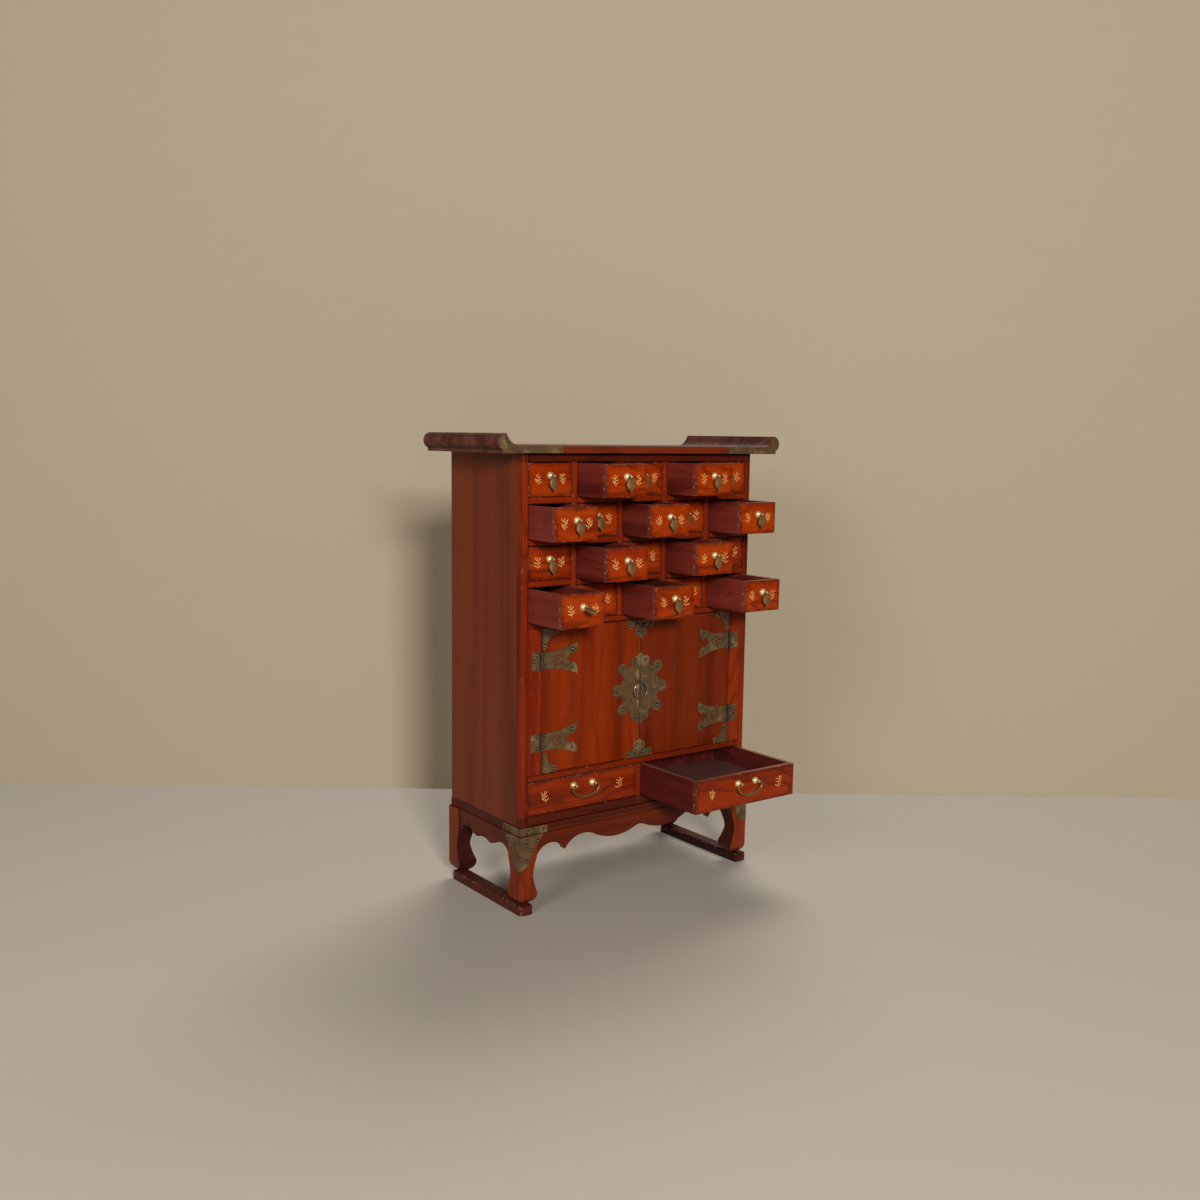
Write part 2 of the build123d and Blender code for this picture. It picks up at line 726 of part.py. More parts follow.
def make_frame_leaf(level):
    """Frame leaf of one hinge with its outer barrels and the pin."""
    half_leaf = frame_leaf_height / 2
    half_gap = barrel_middle / 2 + barrel_gap
    with BuildPart() as leaf:
        with BuildSketch(front_plane(face)):
            with Locations((-hinge_x - barrel_radius - barrel_gap, level)):
                Rectangle(frame_leaf_length - barrel_radius - barrel_gap, frame_leaf_height,
                          align=(Align.MAX, Align.CENTER))
            for side in (-1, 1):
                with Locations((-hinge_x, level + side * (half_gap + half_leaf) / 2)):
                    Rectangle(barrel_radius + 2 * barrel_gap, half_leaf - half_gap,
                              align=(Align.MAX, Align.CENTER))
        extrude(amount=leaf_plate)
        for side in (-1, 1):
            with Locations((-hinge_x, hinge_axis, level + side * (half_gap + half_leaf) / 2)):
                Cylinder(barrel_radius, half_leaf - half_gap)
        with Locations((-hinge_x, hinge_axis, level)):
            Cylinder(barrel_pin, frame_leaf_height)
    return leaf.part


def half_plate(sketch_maker, thickness, depth):
    """A plate on the left door, cut back from the seam between the doors."""
    with BuildPart() as plate:
        with BuildSketch(front_plane(depth)):
            sketch_maker()
            with Locations((-door_seam / 2, 0)):
                Rectangle(carcass_width, 2 * carcass_top, align=(Align.MIN, Align.CENTER), mode=Mode.SUBTRACT)
        extrude(amount=thickness)
    return plate.part


def lock_points():
    return [(-across * lock_width, door_middle + up * lock_height) for across, up in lock_nail_shares]


def lock_sketch():
    """Lobed lock plate about the seam."""
    with Locations((0, door_middle)):
        Ellipse(lock_body_shares[0] * lock_width, lock_body_shares[1] * lock_height)
    points = lock_points()
    with Locations(*points[1:4]):
        Circle(lock_lobe_radius)
    with Locations(points[0], points[4]):
        Circle(lock_tip_lobe_radius)
    tip_half = lock_tip_shares[0] * lock_width
    shoulder = lock_tip_shares[1] * lock_height
    with Locations((0, door_middle)):
        Polygon((-tip_half, shoulder), (-tip_half, -shoulder), (0, -lock_height / 2), (0, lock_height / 2),
                align=None)
    for across, up in lock_notch_shares:
        with Locations((-across * lock_width, door_middle + up * lock_height)):
            Circle(lock_notch_radius, mode=Mode.SUBTRACT)


def lock_disc():
    with Locations((0, door_middle)):
        Circle(lock_disc_share * lock_width)


def seam_bead(low, high, depth, rise):
    """Rounded bead along the left door's free edge, on a face at this Y."""
    edge = -door_seam / 2
    with BuildPart() as bead:
        with BuildSketch(Plane.XY.offset(low)):
            with BuildLine():
                Line((edge, depth), (edge - lock_rib_width, depth))
                ThreePointArc((edge - lock_rib_width, depth), (edge - lock_rib_width / 2, depth - rise),
                              (edge, depth))
            make_face()
        extrude(amount=high - low)
    return bead.part


def crest_points(level, way):
    return [(-across * crest_width, level + way * up * crest_height) for across, up in crest_nail_shares]


def crest_sketch(level, way):
    """Fitting at the middle of the doors' upper or lower edge; way is 1 where it points up."""
    points = crest_points(level, way)
    with Locations((0, level)):
        Polygon((-crest_width / 2, 0), (0, way * crest_height), (0, 0), align=None)
    for point in points:
        with Locations(point):
            Circle(crest_lobe_radius)
    notch = (-crest_notch_shares[0] * crest_width, level + way * crest_notch_shares[1] * crest_height)
    with Locations(notch):
        Circle(crest_notch_radius, mode=Mode.SUBTRACT)
    with Locations((0, level)):
        Rectangle(crest_width, 2 * crest_height, align=(Align.CENTER, Align.MAX if way > 0 else Align.MIN),
                  mode=Mode.SUBTRACT)


def corner_points(edge, level, way):
    return [(edge + across * corner_plate_width, level + way * up * corner_plate_height)
            for across, up in corner_nail_shares]


def corner_sketch(edge, level, way):
    """Plate in an outer corner of the left door; way is 1 where it points up."""
    points = corner_points(edge, level, way)
    with Locations((edge, level)):
        Polygon((0, 0), (corner_plate_width, 0), (0, way * corner_plate_height), align=None)
    for point in points[:2]:
        with Locations(point):
            Circle(corner_lobe_radius)
    with Locations((edge + corner_bite_share * 2 * corner_plate_width,
                    level + way * corner_bite_share * 2 * corner_plate_height)):
        Circle(corner_lobe_radius, mode=Mode.SUBTRACT)
    with Locations((edge, level)):
        Rectangle(carcass_width, carcass_width, align=(Align.MAX, Align.CENTER), mode=Mode.SUBTRACT)
        Rectangle(carcass_width, carcass_width, align=(Align.CENTER, Align.MAX if way > 0 else Align.MIN),
                  mode=Mode.SUBTRACT)


def make_staple(x, level):
    """Post on the left half of the lock plate, with an eye for the ring."""
    root = face - leaf_plate - lock_disc_rise
    with BuildPart() as staple:
        with BuildSketch(front_plane(root)):
            with Locations((x, level)):
                Circle(staple_radius)
        extrude(amount=leaf_plate)
        with BuildSketch(Plane.YZ.offset(x - staple_lug_width / 2)):
            with Locations((root - staple_reach, level)):
                Circle(staple_lug_radius)
                Rectangle(staple_reach, 2 * staple_lug_radius, align=(Align.MIN, Align.CENTER))
                Circle(staple_eye, mode=Mode.SUBTRACT)
        extrude(amount=staple_lug_width)
    return staple.part


def make_doors():
    left_edge = -door_outer + door_gap
    low = cupboard_floor + door_gap
    high = cupboard_ceiling - door_gap
    with BuildPart() as door:
        with Locations((left_edge, face, low)):
            Box(-door_seam / 2 - left_edge, door_thickness, high - low, align=(Align.MIN,) * 3)
        chamfer(door.faces().sort_by(Axis.Y)[0].edges(), length=door_chamfer)
    half_lock = lock_height / 2
    beads = [seam_bead(low + crest_height, door_middle - half_lock, face, lock_rib_rise + leaf_plate),
             seam_bead(door_middle + half_lock, high - crest_height, face, lock_rib_rise + leaf_plate)]
    save("left_door", [door.part] + beads)
    save("right_door", [mirror(door.part, about=Plane.YZ)])

    levels = (door_middle + hinge_offset, door_middle - hinge_offset)
    straps = [make_strap(level) for level in levels]
    leaves = [make_frame_leaf(level) for level in levels]
    plates = [
        half_plate(lock_sketch, leaf_plate, face),
        half_plate(lock_disc, lock_disc_rise, face - leaf_plate),
        half_plate(lambda: crest_sketch(high, -1), leaf_plate, face),
        half_plate(lambda: crest_sketch(low, 1), leaf_plate, face),
        half_plate(lambda: corner_sketch(left_edge, high, -1), leaf_plate, face),
        half_plate(lambda: corner_sketch(left_edge, low, 1), leaf_plate, face),
    ]
    nail_face = face - leaf_plate
    points = lock_points()[:-1] + crest_points(high, -1) + crest_points(low, 1)
    points += corner_points(left_edge, high, -1)[:2] + corner_points(left_edge, low, 1)[:2]
    frame_points = []
    for level in levels:
        points += [(-hinge_x + along * strap_length, level + up * strap_tail_height / 2)
                   for along, up in strap_nail_shares]
        frame_points += [(-hinge_x - along * frame_leaf_length, level + up * frame_leaf_height)
                         for along, up in frame_nail_shares]
    heads = [nails(points, nail_face), nails(lock_points()[-1:], nail_face - lock_disc_rise)]
    brasses = straps + plates + heads

    ring_top = door_middle - ring_drop + ring_radius
    staple = make_staple(-staple_inset, ring_top)
    rib_half = lock_rib_share * lock_disc_share * lock_width
    disc_face = nail_face - lock_disc_rise
    ribs = [seam_bead(ring_top + staple_radius, door_middle + rib_half, disc_face, lock_rib_rise),
            seam_bead(door_middle - rib_half, ring_top - staple_radius, disc_face, lock_rib_rise)]
    save("left_door_brasses", brasses + ribs + [staple])
    stud = nails([(stud_inset, ring_top - stud_drop)], nail_face - lock_disc_rise, stud_radius)
    save("right_door_brasses", [mirror(piece, about=Plane.YZ) for piece in brasses] + [stud])
    frame_brass = leaves + [nails(frame_points, nail_face)]
    save("frame_hinge_leaves", frame_brass + [mirror(piece, about=Plane.YZ) for piece in frame_brass])

    ring_face = face - leaf_plate - lock_disc_rise - staple_reach
    with BuildPart(front_plane(ring_face)) as ring:
        with Locations((-staple_inset, ring_top - ring_radius)):
            Torus(ring_radius, ring_wire)
    save("lock_ring", [ring.part])


os.makedirs("parts", exist_ok=True)
make_carcass()
make_face_frame()
make_drawer_grid()
make_top()
make_top_plates()
make_stand()
make_runners()
make_stand_brass()
make_small_drawers()
make_long_drawers()
make_doors()
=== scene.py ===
"""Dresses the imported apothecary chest: woods, brass, painted sprigs, and the stage around it."""
import json
import random
from math import cos, pi, radians, sin

import bmesh
import bpy
from mathutils import Matrix, Vector


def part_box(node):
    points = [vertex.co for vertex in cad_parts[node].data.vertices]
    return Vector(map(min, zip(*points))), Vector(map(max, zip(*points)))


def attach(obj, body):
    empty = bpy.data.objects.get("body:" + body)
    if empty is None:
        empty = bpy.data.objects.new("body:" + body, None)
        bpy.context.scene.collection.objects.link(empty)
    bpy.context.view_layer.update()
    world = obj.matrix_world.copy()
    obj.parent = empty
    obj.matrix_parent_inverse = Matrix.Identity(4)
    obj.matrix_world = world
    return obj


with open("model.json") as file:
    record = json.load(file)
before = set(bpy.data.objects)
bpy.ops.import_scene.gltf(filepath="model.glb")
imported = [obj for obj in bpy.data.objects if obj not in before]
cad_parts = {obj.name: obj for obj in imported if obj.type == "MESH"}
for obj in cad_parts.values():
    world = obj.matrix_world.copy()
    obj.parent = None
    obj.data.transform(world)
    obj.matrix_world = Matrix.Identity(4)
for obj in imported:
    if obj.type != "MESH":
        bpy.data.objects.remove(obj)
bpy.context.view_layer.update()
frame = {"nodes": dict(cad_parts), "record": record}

bl_info = {
    "name": "Apothecary chest dresser",
    "version": (1, 0, 0),
    "blender": (4, 5, 0),
    "location": "3D View > Sidebar > Chest",
    "description": "Gives the packed chest its woods, brass, painted sprigs and studio",
    "category": "Object",
}

NODES = frame["nodes"]
JOINTS = {joint["name"]: joint for joint in frame["record"]["behaviour"]["joints"]}
SMALL_DRAWERS = sorted(name for name in NODES if name.startswith("drawer_r"))
LONG_DRAWERS = ["long_drawer_left", "long_drawer_right"]
PENDANTS = sorted(name for name in NODES if name.startswith("pendant_"))
BAILS = ["bail_left", "bail_right"]

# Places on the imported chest, in metres from its middle and from the floor
STILE_INNER, STRIP_INNER = 0.223, 0.197
STRIP_MIDDLE, STRIP_HALF = 0.3385, 0.1165
POST_HALF, POST_TOP = 0.0053, 0.211
GRID_PITCH = 0.0913
TOP_RAIL_LOW, BOTTOM_RAIL_HIGH = 0.7126, 0.1560
LEG_INNER, LEG_DEEP, LEG_TOP = 0.2055, 0.077, 0.127
STAND_FORWARD = 0.003
WAIST_MIDDLE, WAIST_REACH = 0.1352, 0.0050
DOOR_NAILS, TOP_NAILS, CORNER_NAILS, SIDE_NAILS = -0.10678, -0.12258, -0.11458, 0.24208
LOCK_RADIUS, LOCK_RISE, HINGE_OUT = 0.0352, 0.0007, 0.19735
BARREL_REACH, SEAM_REACH = 0.0040, 0.0125
BAND_STEP = 0.0045
PULL_REACH = 0.0096


def paint(red, green, blue):
    """Linear colour from the usual 0 to 255 values."""
    def line(value):
        share = value / 255
        return share / 12.92 if share <= 0.04045 else ((share + 0.055) / 1.055) ** 2.4
    return (line(red), line(green), line(blue))


def colour(name, about, value):
    return bpy.props.FloatVectorProperty(name=name, description=about, subtype="COLOR", size=3, min=0.0,
                                         max=1.0, default=paint(*value))


def metres(name, about, value):
    return bpy.props.FloatProperty(name=name, description=about, default=value, unit="LENGTH")


def angle(name, about, degrees):
    return bpy.props.FloatProperty(name=name, description=about, default=radians(degrees), subtype="ANGLE")


def number(name, about, value):
    return bpy.props.FloatProperty(name=name, description=about, default=value)


class ChestWoods(bpy.types.PropertyGroup):
    """Colours of the chest's woods, each as its dark lines, its body and its light streaks."""
    front_dark: colour("Front dark", "Dark grain of the small fronts", (66, 14, 4))
    front_body: colour("Front body", "Body of the small fronts", (140, 40, 3))
    front_light: colour("Front light", "Light streaks of the small fronts", (152, 53, 6))
    # The long fronts are darker than the small fronts: painted shade, for light that falls off towards the
    # bottom.
    long_dark: colour("Long dark", "Dark grain of the long fronts", (58, 14, 5))
    long_body: colour("Long body", "Body of the long fronts", (124, 36, 5))
    long_light: colour("Long light", "Light streaks of the long fronts", (138, 46, 8))
    frame_dark: colour("Frame dark", "Dark grain of the front frame", (46, 10, 4))
    frame_body: colour("Frame body", "Body of the front frame", (110, 28, 4))
    frame_light: colour("Frame light", "Light streaks of the front frame", (130, 40, 6))
    door_dark: colour("Door dark", "Dark grain of the doors", (64, 15, 3))
    door_body: colour("Door body", "Body of the doors", (112, 32, 2))
    door_light: colour("Door light", "Light streaks of the doors", (130, 42, 4))
    # The right door's colours are darker than the left door's: painted shade, for light that falls off
    # towards the right.
    mate_dark: colour("Right door dark", "Dark grain of the right door", (50, 12, 3))
    mate_body: colour("Right door body", "Body of the right door", (92, 26, 3))
    mate_light: colour("Right door light", "Light streaks of the right door", (108, 34, 5))
    side_dark: colour("Side dark", "Dark grain of the sides", (62, 24, 12))
    side_body: colour("Side body", "Body of the sides", (98, 40, 19))
    side_light: colour("Side light", "Light streaks of the sides", (112, 47, 20))
    inner_dark: colour("Inner dark", "Dark grain of the small drawers' boards", (50, 13, 12))
    inner_body: colour("Inner body", "Body of the small drawers' boards", (98, 33, 26))
    inner_light: colour("Inner light", "Light streaks of the small drawers' boards", (120, 45, 34))
    box_dark: colour("Box dark", "Dark grain of the long drawers' boards", (34, 9, 8))
    box_body: colour("Box body", "Body of the long drawers' boards", (70, 22, 18))
    box_light: colour("Box light", "Light streaks of the long drawers' boards", (86, 31, 25))
    top_dark: colour("Top dark", "Dark grain of the top", (40, 17, 13))
    top_body: colour("Top body", "Body of the top", (84, 44, 35))
    top_light: colour("Top light", "Light streaks of the top", (108, 61, 48))
    # The stand is darker too: painted shade, for light that falls off towards the bottom.
    stand_dark: colour("Stand dark", "Dark grain of the stand", (42, 12, 5))
    stand_body: colour("Stand body", "Body of the stand", (104, 35, 11))
    stand_light: colour("Stand light", "Light streaks of the stand", (122, 44, 14))
    runner_dark: colour("Runner dark", "Dark grain of the runners", (30, 12, 9))
    runner_body: colour("Runner body", "Body of the runners", (66, 27, 19))
    runner_light: colour("Runner light", "Light streaks of the runners", (80, 34, 24))
    worn: colour("Worn edge", "Bare wood where edges are rubbed", (170, 112, 92))
    # The grime colour is also used as painted shade, on the frame's outer rails and along the stand's waist.
    grime_and_shade: colour("Grime", "Dirt along joints and edges", (34, 14, 12))
    dust: colour("Dust", "Dusty bottoms of the drawers", (98, 68, 60))


class ChestMetals(bpy.types.PropertyGroup):
    """Colours of the chest's metals."""
    plate: colour("Plate", "Aged brass plates", (108, 82, 49))
    # Lighter patches on the plates: rubbed brass and painted sheen.
    plate_rub_and_sheen: colour("Plate light", "Rubbed patches on the plates", (150, 126, 86))
    tarnish: colour("Tarnish", "Dark patches on the plates", (64, 49, 30))
    knob: colour("Knob", "Rubbed brass of the knobs", (235, 209, 152))
    knob_dark: colour("Knob dark", "Dirt on the knobs", (177, 148, 99))
    leaf: colour("Leaf", "Brass of the leaf pendants and bails", (138, 104, 60))
    leaf_dark: colour("Leaf dark", "Dirt on the leaf pendants and bails", (92, 67, 36))
    ring: colour("Ring", "Worn wire of the lock ring", (156, 146, 128))
    ring_dark: colour("Ring dark", "Dirt on the lock ring", (66, 58, 48))
    # Nail heads are darker at their rims and lighter at their crowns: grime and painted shade on the flanks,
    # rubbing and a painted highlight on the tops.
    nail_rim: colour("Nail rim", "Dirt round the nail heads", (26, 21, 17))
    nail_crown_rub_and_highlight: colour("Nail crown", "Rubbed tops of the nail heads", (160, 140, 108))


class ChestSprigs(bpy.types.PropertyGroup):
    """Sprigs painted beside the pulls."""
    small_height: metres("Small sprig", "Height on a small drawer", 0.0190)
    long_height: metres("Long sprig", "Height on a long drawer", 0.0205)
    small_offset: metres("Small offset", "Place beside a small drawer's middle", 0.0225)
    long_offset: metres("Long offset", "Place beside a long drawer's middle", 0.074)
    brush: metres("Brush", "Width of a stroke", 0.00115)
    coat: metres("Coat", "Thickness of the paint", 0.00012)
    cream: colour("Cream", "Paint where it is fresh", (226, 168, 96))
    amber: colour("Amber", "Paint where it is rubbed", (198, 112, 48))


class ChestStage(bpy.types.PropertyGroup):
    """Camera and studio."""
    eye: bpy.props.FloatVectorProperty(name="Eye", description="Where the camera stands", unit="LENGTH",
                                       subtype="TRANSLATION", default=(-1.2792, -1.7173, 0.7542))
    yaw: angle("Yaw", "Turn from the back wall to the right", 36.548)
    pitch: angle("Pitch", "Tilt down", 7.440)
    roll: angle("Roll", "Turn about the line of sight", 0.775)
    lens: number("Lens", "Focal length in millimetres on a 36 mm frame", 37.8)
    wall_away: metres("Wall", "From the camera to the wall", 2.62)
    floor: colour("Floor", "Floor", (182, 171, 156))
    wall: colour("Wall", "Backdrop", (166, 152, 128))
    sky: number("Sky", "Strength of the light from all round", 0.12)
    key: number("Key", "Main lamp, as the share of white that white renders at", 0.90)
    side: number("Side", "Lamp at the left, as that share", 0.28)
    rear: number("Rear", "Lamp behind and at the right, as that share", 0.60)


# Shader building blocks
def add(tree, kind, links=(), **settings):
    """A node with its settings, and with values or other nodes' outputs on its inputs."""
    node = tree.nodes.new(kind)
    for name, value in settings.items():
        setattr(node, name, value)
    for socket, value in dict(links).items():
        if isinstance(value, bpy.types.NodeSocket):
            tree.links.new(value, node.inputs[socket])
        else:
            node.inputs[socket].default_value = value
    return node


def calc(tree, operation, *values):
    return add(tree, "ShaderNodeMath", dict(enumerate(values)), operation=operation).outputs[0]


def ramp(tree, value, low, high):
    """Zero below low, one above high, smooth between."""
    links = {0: value, 1: low, 2: high}
    return add(tree, "ShaderNodeMapRange", links, interpolation_type="SMOOTHSTEP").outputs[0]


def mix(tree, mask, first, second):
    """First colour where the mask is zero, second where it is one."""
    def ready(shade):
        return shade if isinstance(shade, bpy.types.NodeSocket) else (*shade[:3], 1.0)
    links = {0: mask, 6: ready(first), 7: ready(second)}
    return add(tree, "ShaderNodeMix", links, data_type="RGBA").outputs[2]


def blend(tree, mask, first, second):
    """First value where the mask is zero, second where it is one."""
    return add(tree, "ShaderNodeMix", {0: mask, 2: first, 3: second}, data_type="FLOAT").outputs[0]


def noise(tree, vector, scale, detail=2.0, rough=0.5):
    links = {"Vector": vector, "Scale": scale, "Detail": detail, "Roughness": rough}
    return add(tree, "ShaderNodeTexNoise", links).outputs[0]


def stretch(tree, vector, scale, shift=(0, 0, 0)):
    return add(tree, "ShaderNodeMapping", {"Vector": vector, "Scale": scale, "Location": shift}).outputs[0]


def split(tree, vector):
    return add(tree, "ShaderNodeSeparateXYZ", {0: vector}).outputs


def join(tree, x, y, z):
    return add(tree, "ShaderNodeCombineXYZ", {0: x, 1: y, 2: z}).outputs[0]


def open_group(name, inputs, outputs):
    """An empty shader group; inputs are (name, kind, default) and outputs are names of values."""
    tree = bpy.data.node_groups.new(name, "ShaderNodeTree")
    for label, kind, default in inputs:
        socket = tree.interface.new_socket(name=label, in_out="INPUT", socket_type=kind)
        if default is not None:
            socket.default_value = default
    for label in outputs:
        tree.interface.new_socket(name=label, in_out="OUTPUT", socket_type="NodeSocketFloat")
    return tree, tree.nodes.new("NodeGroupInput").outputs, tree.nodes.new("NodeGroupOutput").inputs


def use_group(tree, name, links):
    return add(tree, "ShaderNodeGroup", links, node_tree=bpy.data.node_groups[name]).outputs


def make_grain_group():
    """Grain that runs along the first axis: growth lines, fine streaks and slow changes of tone."""
    tree, given, out = open_group("board_grain", [
        ("Vector", "NodeSocketVector", None), ("Seed", "NodeSocketFloat", 0.0),
        ("Figure", "NodeSocketFloat", 12.0)], ["Line", "Streak", "Tone"])
    shift = calc(tree, "MULTIPLY", given["Seed"], 0.713)
    offset = join(tree, shift, calc(tree, "MULTIPLY", shift, 1.7), calc(tree, "MULTIPLY", shift, 2.3))
    place = add(tree, "ShaderNodeVectorMath", {0: given["Vector"], 1: offset}, operation="ADD").outputs[0]
    field = noise(tree, stretch(tree, place, (3.4, 17, 17)), 1.0, 1.4, 0.4)
    ripple = noise(tree, stretch(tree, place, (12, 140, 140)), 1.0, 2.0)
    height = calc(tree, "ADD", field, calc(tree, "MULTIPLY", ripple, 0.035))
    ring = calc(tree, "FRACT", calc(tree, "MULTIPLY", height, given["Figure"]))
    crest = calc(tree, "MULTIPLY", ramp(tree, ring, 0.42, 0.92), ramp(tree, ring, 1.0, 0.93))
    fade = ramp(tree, noise(tree, stretch(tree, place, (5, 40, 40)), 1.0, 2.0), 0.36, 0.62)
    tree.links.new(calc(tree, "MULTIPLY", crest, fade), out["Line"])
    streaks = noise(tree, stretch(tree, place, (22, 640, 640)), 1.0, 2.0, 0.55)
    tree.links.new(ramp(tree, streaks, 0.50, 0.74), out["Streak"])
    tree.links.new(noise(tree, stretch(tree, place, (2.4, 30, 30)), 1.0, 3.0, 0.55), out["Tone"])


def make_wear_group():
    """Rubbed edges: where a face turns away from the board's own directions, broken up by noise."""
    tree, given, out = open_group("edge_wear", [
        ("Normal", "NodeSocketVector", None), ("Vector", "NodeSocketVector", None),
        ("Amount", "NodeSocketFloat", 0.5)], ["Edge", "Chip"])
    facing = add(tree, "ShaderNodeVectorMath", {0: given["Normal"]}, operation="ABSOLUTE").outputs[0]
    sides = split(tree, facing)
    widest = calc(tree, "MAXIMUM", calc(tree, "MAXIMUM", sides[0], sides[1]), sides[2])
    turned = ramp(tree, calc(tree, "SUBTRACT", 1.0, widest), 0.04, 0.22)
    broken = noise(tree, given["Vector"], 120.0, 4.0, 0.7)
    chips = ramp(tree, calc(tree, "ADD", broken, calc(tree, "MULTIPLY", given["Amount"], 0.3)), 0.62, 0.76)
    tree.links.new(turned, out["Edge"])
    tree.links.new(calc(tree, "MULTIPLY", turned, chips), out["Chip"])


def make_brass_group():
    """Age and sheen of brass: cloudy tarnish, broad lighter patches that are rubbing and painted sheen, and
    fine scratches.
    """
    tree, given, out = open_group("brass_age", [("Vector", "NodeSocketVector", None)],
                                  ["Tarnish", "Rub", "Scratch"])
    cloud = noise(tree, given["Vector"], 85.0, 5.0, 0.65)
    speck = noise(tree, given["Vector"], 620.0, 3.0, 0.6)
    stain = calc(tree, "ADD", calc(tree, "MULTIPLY", cloud, 0.72), calc(tree, "MULTIPLY", speck, 0.28))
    tree.links.new(ramp(tree, stain, 0.40, 0.64), out["Tarnish"])
    tree.links.new(ramp(tree, noise(tree, given["Vector"], 34.0, 3.0, 0.5), 0.54, 0.70), out["Rub"])
    fine = noise(tree, stretch(tree, given["Vector"], (900, 900, 160)), 1.0, 2.0)
    tree.links.new(ramp(tree, fine, 0.46, 0.72), out["Scratch"])


def new_material(name, gloss=0.5):
    """A material with its tree, shader and coordinates."""
    made = bpy.data.materials.new(name)
    made.use_nodes = True
    tree = made.node_tree
    tree.nodes.clear()
    shader = add(tree, "ShaderNodeBsdfPrincipled", {"Specular IOR Level": gloss})
    end = add(tree, "ShaderNodeOutputMaterial")
    tree.links.new(shader.outputs[0], end.inputs[0])
    return made, tree, shader, add(tree, "ShaderNodeTexCoord").outputs


def share(tree, mask, amount):
    return calc(tree, "MULTIPLY", mask, amount)


def both(tree, first, second):
    return calc(tree, "MULTIPLY", first, second)


def near(tree, value, spot, reach):
    """One at the spot and zero beyond its reach."""
    return ramp(tree, calc(tree, "ABSOLUTE", calc(tree, "SUBTRACT", value, spot)), reach, 0.6 * reach)


def board_colour(tree, vector, shades, seed, figure=12.0, line=0.5, streak=0.25, deep=0.5):
    """Colour and streaks of a board whose grain runs along the vector's first axis."""
    grain = use_group(tree, "board_grain", {"Vector": vector, "Seed": seed, "Figure": figure})
    dark, body, light = shades
    tone = mix(tree, ramp(tree, grain["Tone"], 0.36, 0.68), body, light)
    shadow = mix(tree, share(tree, ramp(tree, grain["Tone"], 0.48, 0.28), deep), tone, dark)
    lined = mix(tree, share(tree, grain["Line"], line), shadow, dark)
    return mix(tree, share(tree, grain["Streak"], streak), lined, dark), grain["Streak"]


def bump(tree, height, strength=0.2, distance=0.0003):
    links = {"Height": height, "Strength": strength, "Distance": distance}
    return add(tree, "ShaderNodeBump", links).outputs[0]


def along(tree, vector, axis):
    """The vector with the grain's axis first."""
    x, y, z = split(tree, vector)
    order = {"X": (x, y, z), "Y": (y, z, x), "Z": (z, x, y)}[axis]
    return join(tree, *order)


def shades_of(woods, name):
    return tuple(tuple(getattr(woods, f"{name}_{part}")) for part in ("dark", "body", "light"))


def wood_material(name, woods, kind, axis, seed, upright=None, figure=12.0, line=0.35, wear=0.2, run=1.0,
                  deep=0.5, lying=0.0, shaded=None, grime_and_shade_share=0.8, edge=None, rough=(0.28, 0.42)):
    """Varnished wood; upright names a function that masks where the grain runs up instead, lying is how much
    darker the other pieces are, shaded names a function that masks the places darkened with the grime colour,
    which is painted shade on the frame's outer rails and along the stand's waist, edge is the kind of wood
    that the front edge shows, and rough holds the roughness of the smooth wood and of its streaks."""
    made, tree, shader, coords = new_material(name, gloss=0.12)
    place = along(tree, coords["Object"], axis)
    shades = shades_of(woods, kind)
    if upright:
        raised = along(tree, coords["Object"], "Z")
        stands = upright(tree, coords["Object"])
        place = add(tree, "ShaderNodeMix", {0: stands, 4: place, 5: raised}, data_type="VECTOR").outputs[1]
    place = stretch(tree, place, (run, 1, 1))
    tint, streak = board_colour(tree, place, shades, seed, figure, line, deep=deep)
    if lying:
        tint = mix(tree, calc(tree, "MULTIPLY_ADD", stands, -lying, lying), tint, shades[0])
    if edge:
        rim = board_colour(tree, place, shades_of(woods, edge), seed, figure, line)[0]
        tint = mix(tree, ramp(tree, split(tree, coords["Normal"])[1], -0.4, -0.8), tint, rim)
    # Darkens the masked places with the grime colour; on the frame's outer rails and along the stand's waist
    # this is painted shade.
    if shaded:
        darkened = shaded(tree, coords["Object"], coords["Normal"])
        tint = mix(tree, share(tree, darkened, grime_and_shade_share), tint, tuple(woods.grime_and_shade))
    worn = use_group(tree, "edge_wear", {"Normal": coords["Normal"], "Vector": coords["Object"],
                                         "Amount": wear})
    tint = mix(tree, share(tree, worn["Edge"], 0.55), tint, shades[0])
    tint = mix(tree, share(tree, worn["Chip"], 0.5), tint, tuple(woods.worn))
    tree.links.new(tint, shader.inputs["Base Color"])
    tree.links.new(blend(tree, streak, *rough), shader.inputs["Roughness"])
    tree.links.new(bump(tree, calc(tree, "SUBTRACT", 1.0, streak)), shader.inputs["Normal"])
    return made


def brass_shades(tree, vector, clean, darkened, rub_and_sheen_tone=None):
    age_and_sheen = use_group(tree, "brass_age", {"Vector": vector})
    tint = mix(tree, share(tree, age_and_sheen["Tarnish"], 0.8), clean, darkened)
    # Lighter patches, rubbed brass and painted sheen.
    if rub_and_sheen_tone:
        tint = mix(tree, share(tree, age_and_sheen["Rub"], 0.6), tint, rub_and_sheen_tone)
    return mix(tree, share(tree, age_and_sheen["Scratch"], 0.2), tint, darkened), age_and_sheen


